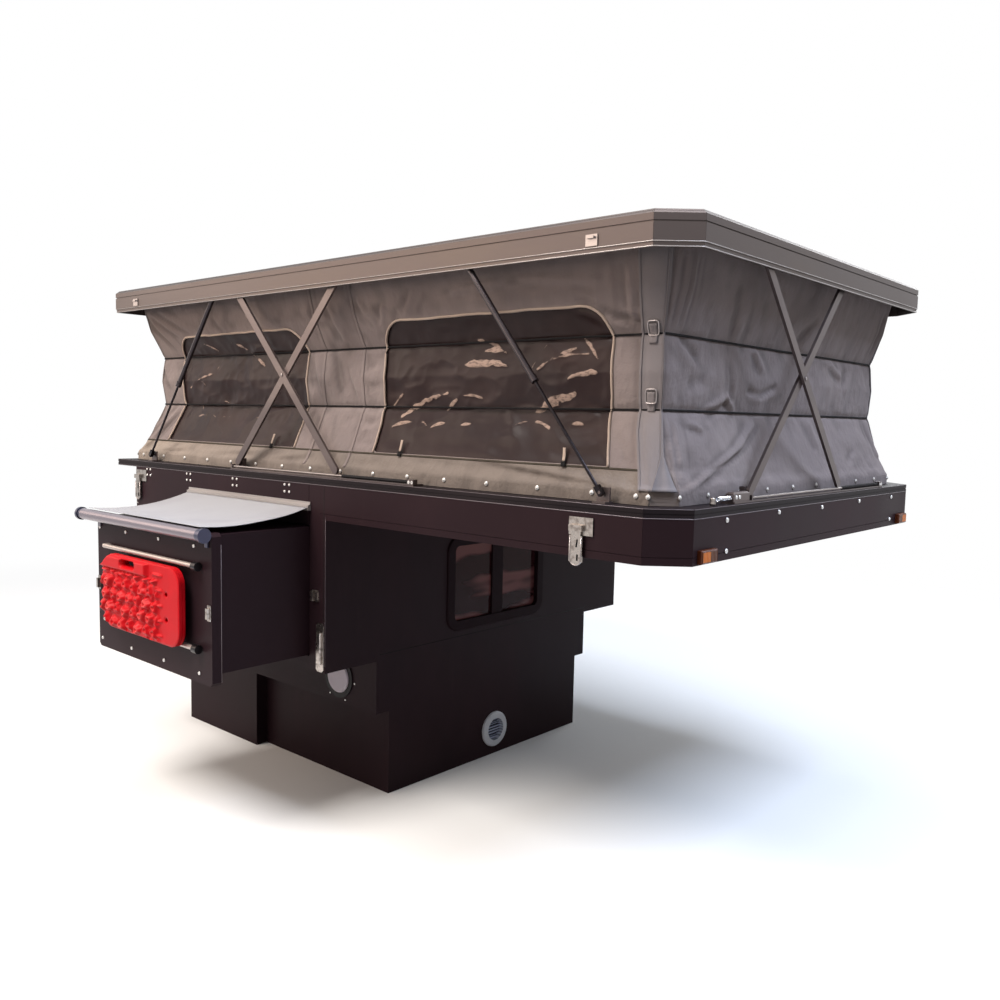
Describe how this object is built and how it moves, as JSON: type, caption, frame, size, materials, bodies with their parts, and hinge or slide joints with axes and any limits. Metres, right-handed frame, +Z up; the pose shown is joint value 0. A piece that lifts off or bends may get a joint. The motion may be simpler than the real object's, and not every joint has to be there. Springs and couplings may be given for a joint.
{
  "type": "pop-up truck camper",
  "caption": "Slide-in camper body with a cabover bed pod, a lifting roof on scissor arms and gas struts, folding canvas walls, a side slide-out and a rear door.",
  "frame": {"origin": "centre of the floor's underside, where it rests on the pick-up bed", "axes": "+X forward to the cabover nose, +Y to the port side, +Z up"},
  "size_m": [3.094, 2.4095, 2.091],
  "materials": {
    "body_panel": "satin",
    "roof_skin": "satin",
    "rim_alloy": "satin",
    "rail_alloy": "satin",
    "arm_steel": "satin",
    "bright_steel": "satin",
    "chrome_rod": "polished",
    "canvas": "matte",
    "clear_vinyl": "gloss",
    "window_glass": "gloss",
    "black_rubber": "matte",
    "black_plastic": "satin",
    "white_plastic": "satin",
    "grey_plastic": "satin",
    "amber_lens": "gloss",
    "red_plastic": "satin",
    "topper_vinyl": "satin",
    "mattress_fabric": "matte"
  },
  "bodies": {
    "camper": {"floor_panel": "body_panel", "side_shells": "body_panel", "rear_side_boxes": "body_panel", "wing_walls": "body_panel", "front_wall": "body_panel", "rear_wall": "body_panel", "window_frame": "black_rubber", "window_panes": "window_glass", "vent": "white_plastic", "filler_hatch": "grey_plastic", "cabover_floor": "body_panel", "cabover_walls": "body_panel", "base_rail": "rail_alloy", "tail_deck": "body_panel", "canvas_strip": "rail_alloy", "canvas": "canvas", "canvas_windows": "clear_vinyl", "topper_rail": "rail_alloy", "wall_latches": "bright_steel", "roof_toggles": "bright_steel", "marker_lamps": "amber_lens", "mattress": "mattress_fabric", "scissor_tracks": "arm_steel", "guide_rods": "chrome_rod", "rod_gaiters": "black_rubber", "strut_feet": "arm_steel", "slide_runners": "black_plastic"},
    "roof": {"roof_panel": "roof_skin", "roof_rim": "rim_alloy", "roof_brackets": "arm_steel", "roof_catches": "bright_steel"},
    "slideout": {"slideout_box": "body_panel", "slideout_fascia": "body_panel", "topper_roller": "rail_alloy", "topper_fabric": "topper_vinyl", "board_bars": "arm_steel", "recovery_boards": "red_plastic", "slideout_toggles": "bright_steel"},
    "rear_door": {"door_panel": "body_panel", "door_glass": "window_glass", "door_handle": "black_plastic"},
    "stbd_inner_arm": {"stbd_arm_inner": "arm_steel"},
    "stbd_outer_arm": {"stbd_arm_outer": "arm_steel"},
    "port_inner_arm": {"port_arm_inner": "arm_steel"},
    "port_outer_arm": {"port_arm_outer": "arm_steel"},
    "front_inner_arm": {"front_arm_inner": "arm_steel"},
    "front_outer_arm": {"front_arm_outer": "arm_steel"},
    "rear_inner_arm": {"rear_arm_inner": "arm_steel"},
    "rear_outer_arm": {"rear_arm_outer": "arm_steel"},
    "front_stbd_strut_rod": {"front_stbd_strut_rod": "chrome_rod"},
    "front_stbd_strut_tube": {"front_stbd_strut_tube": "arm_steel"},
    "front_port_strut_rod": {"front_port_strut_rod": "chrome_rod"},
    "front_port_strut_tube": {"front_port_strut_tube": "arm_steel"},
    "rear_stbd_strut_rod": {"rear_stbd_strut_rod": "chrome_rod"},
    "rear_stbd_strut_tube": {"rear_stbd_strut_tube": "arm_steel"},
    "rear_port_strut_rod": {"rear_port_strut_rod": "chrome_rod"},
    "rear_port_strut_tube": {"rear_port_strut_tube": "arm_steel"}
  },
  "joints": [
    {"name": "roof_lift", "type": "slide", "parent": "camper", "child": "roof", "axis": [0, 0, 1], "range_m": [-0.688, 0], "deforming": ["canvas", "canvas_windows", "rod_gaiters"]},
    {"name": "stbd_inner_arm_swing", "type": "hinge", "parent": "camper", "child": "stbd_inner_arm", "pos_m": [0.0975, -0.921, 1.33], "axis": [0, 1, 0], "range_deg": [-0.05, 46.41]},
    {"name": "stbd_outer_arm_swing", "type": "hinge", "parent": "stbd_inner_arm", "child": "stbd_outer_arm", "pos_m": [0.4225, -0.933, 1.681], "axis": [0, 1, 0], "range_deg": [-92.78, 0.05]},
    {"name": "port_inner_arm_swing", "type": "hinge", "parent": "camper", "child": "port_inner_arm", "pos_m": [0.0975, 0.921, 1.33], "axis": [0, 1, 0], "range_deg": [-0.05, 46.41]},
    {"name": "port_outer_arm_swing", "type": "hinge", "parent": "port_inner_arm", "child": "port_outer_arm", "pos_m": [0.4225, 0.933, 1.681], "axis": [0, 1, 0], "range_deg": [-92.78, 0.05]},
    {"name": "front_inner_arm_swing", "type": "hinge", "parent": "camper", "child": "front_inner_arm", "pos_m": [2.1595, -0.48, 1.33], "axis": [-1, 0, 0], "range_deg": [-0.05, 46.41]},
    {"name": "front_outer_arm_swing", "type": "hinge", "parent": "front_inner_arm", "child": "front_outer_arm", "pos_m": [2.1715, -0.155, 1.681], "axis": [-1, 0, 0], "range_deg": [-92.78, 0.05]},
    {"name": "rear_inner_arm_swing", "type": "hinge", "parent": "camper", "child": "rear_inner_arm", "pos_m": [-0.8605, -0.48, 1.33], "axis": [-1, 0, 0], "range_deg": [-0.05, 46.41]},
    {"name": "rear_outer_arm_swing", "type": "hinge", "parent": "rear_inner_arm", "child": "rear_outer_arm", "pos_m": [-0.8725, -0.155, 1.681], "axis": [-1, 0, 0], "range_deg": [-92.78, 0.05]},
    {"name": "front_stbd_strut_swing", "type": "hinge", "parent": "camper", "child": "front_stbd_strut_rod", "pos_m": [1.9245, -0.926, 1.33], "axis": [0, -1, 0], "range_deg": [-0.05, 50.28]},
    {"name": "front_stbd_strut_stroke", "type": "slide", "parent": "front_stbd_strut_rod", "child": "front_stbd_strut_tube", "axis": [-0.6202, 0, 0.7845], "range_m": [-0.33991, 0.0002]},
    {"name": "front_port_strut_swing", "type": "hinge", "parent": "camper", "child": "front_port_strut_rod", "pos_m": [1.9245, 0.926, 1.33], "axis": [0, -1, 0], "range_deg": [-0.05, 50.28]},
    {"name": "front_port_strut_stroke", "type": "slide", "parent": "front_port_strut_rod", "child": "front_port_strut_tube", "axis": [-0.6202, 0, 0.7845], "range_m": [-0.33991, 0.0002]},
    {"name": "rear_stbd_strut_swing", "type": "hinge", "parent": "camper", "child": "rear_stbd_strut_rod", "pos_m": [-0.6155, -0.926, 1.33], "axis": [0, 1, 0], "range_deg": [-0.05, 50.28]},
    {"name": "rear_stbd_strut_stroke", "type": "slide", "parent": "rear_stbd_strut_rod", "child": "rear_stbd_strut_tube", "axis": [0.6202, 0, 0.7845], "range_m": [-0.33991, 0.0002]},
    {"name": "rear_port_strut_swing", "type": "hinge", "parent": "camper", "child": "rear_port_strut_rod", "pos_m": [-0.6155, 0.926, 1.33], "axis": [0, 1, 0], "range_deg": [-0.05, 50.28]},
    {"name": "rear_port_strut_stroke", "type": "slide", "parent": "rear_port_strut_rod", "child": "rear_port_strut_tube", "axis": [0.6202, 0, 0.7845], "range_m": [-0.33991, 0.0002]},
    {"name": "slideout_travel", "type": "slide", "parent": "camper", "child": "slideout", "axis": [0, 1, 0], "range_m": [0, 0.377], "deforming": ["topper_fabric"]},
    {"name": "rear_door_swing", "type": "hinge", "parent": "camper", "child": "rear_door", "pos_m": [-0.7388, 0.284, 0.655], "axis": [0, 0, -1], "range_deg": [0, 110]}
  ],
  "couplings": [
    {"joint": "stbd_inner_arm_swing", "follows": "roof_lift", "rad_per_m": -1.1762},
    {"joint": "stbd_outer_arm_swing", "follows": "roof_lift", "rad_per_m": 2.3523},
    {"joint": "port_inner_arm_swing", "follows": "roof_lift", "rad_per_m": -1.1762},
    {"joint": "port_outer_arm_swing", "follows": "roof_lift", "rad_per_m": 2.3523},
    {"joint": "front_inner_arm_swing", "follows": "roof_lift", "rad_per_m": -1.1762},
    {"joint": "front_outer_arm_swing", "follows": "roof_lift", "rad_per_m": 2.3523},
    {"joint": "rear_inner_arm_swing", "follows": "roof_lift", "rad_per_m": -1.1762},
    {"joint": "rear_outer_arm_swing", "follows": "roof_lift", "rad_per_m": 2.3523},
    {"joint": "front_stbd_strut_swing", "follows": "roof_lift", "rad_per_m": -1.2741},
    {"joint": "front_stbd_strut_stroke", "follows": "roof_lift", "ratio": 0.49377},
    {"joint": "front_port_strut_swing", "follows": "roof_lift", "rad_per_m": -1.2741},
    {"joint": "front_port_strut_stroke", "follows": "roof_lift", "ratio": 0.49377},
    {"joint": "rear_stbd_strut_swing", "follows": "roof_lift", "rad_per_m": -1.2741},
    {"joint": "rear_stbd_strut_stroke", "follows": "roof_lift", "ratio": 0.49377},
    {"joint": "rear_port_strut_swing", "follows": "roof_lift", "rad_per_m": -1.2741},
    {"joint": "rear_port_strut_stroke", "follows": "roof_lift", "ratio": 0.49377}
  ]
}
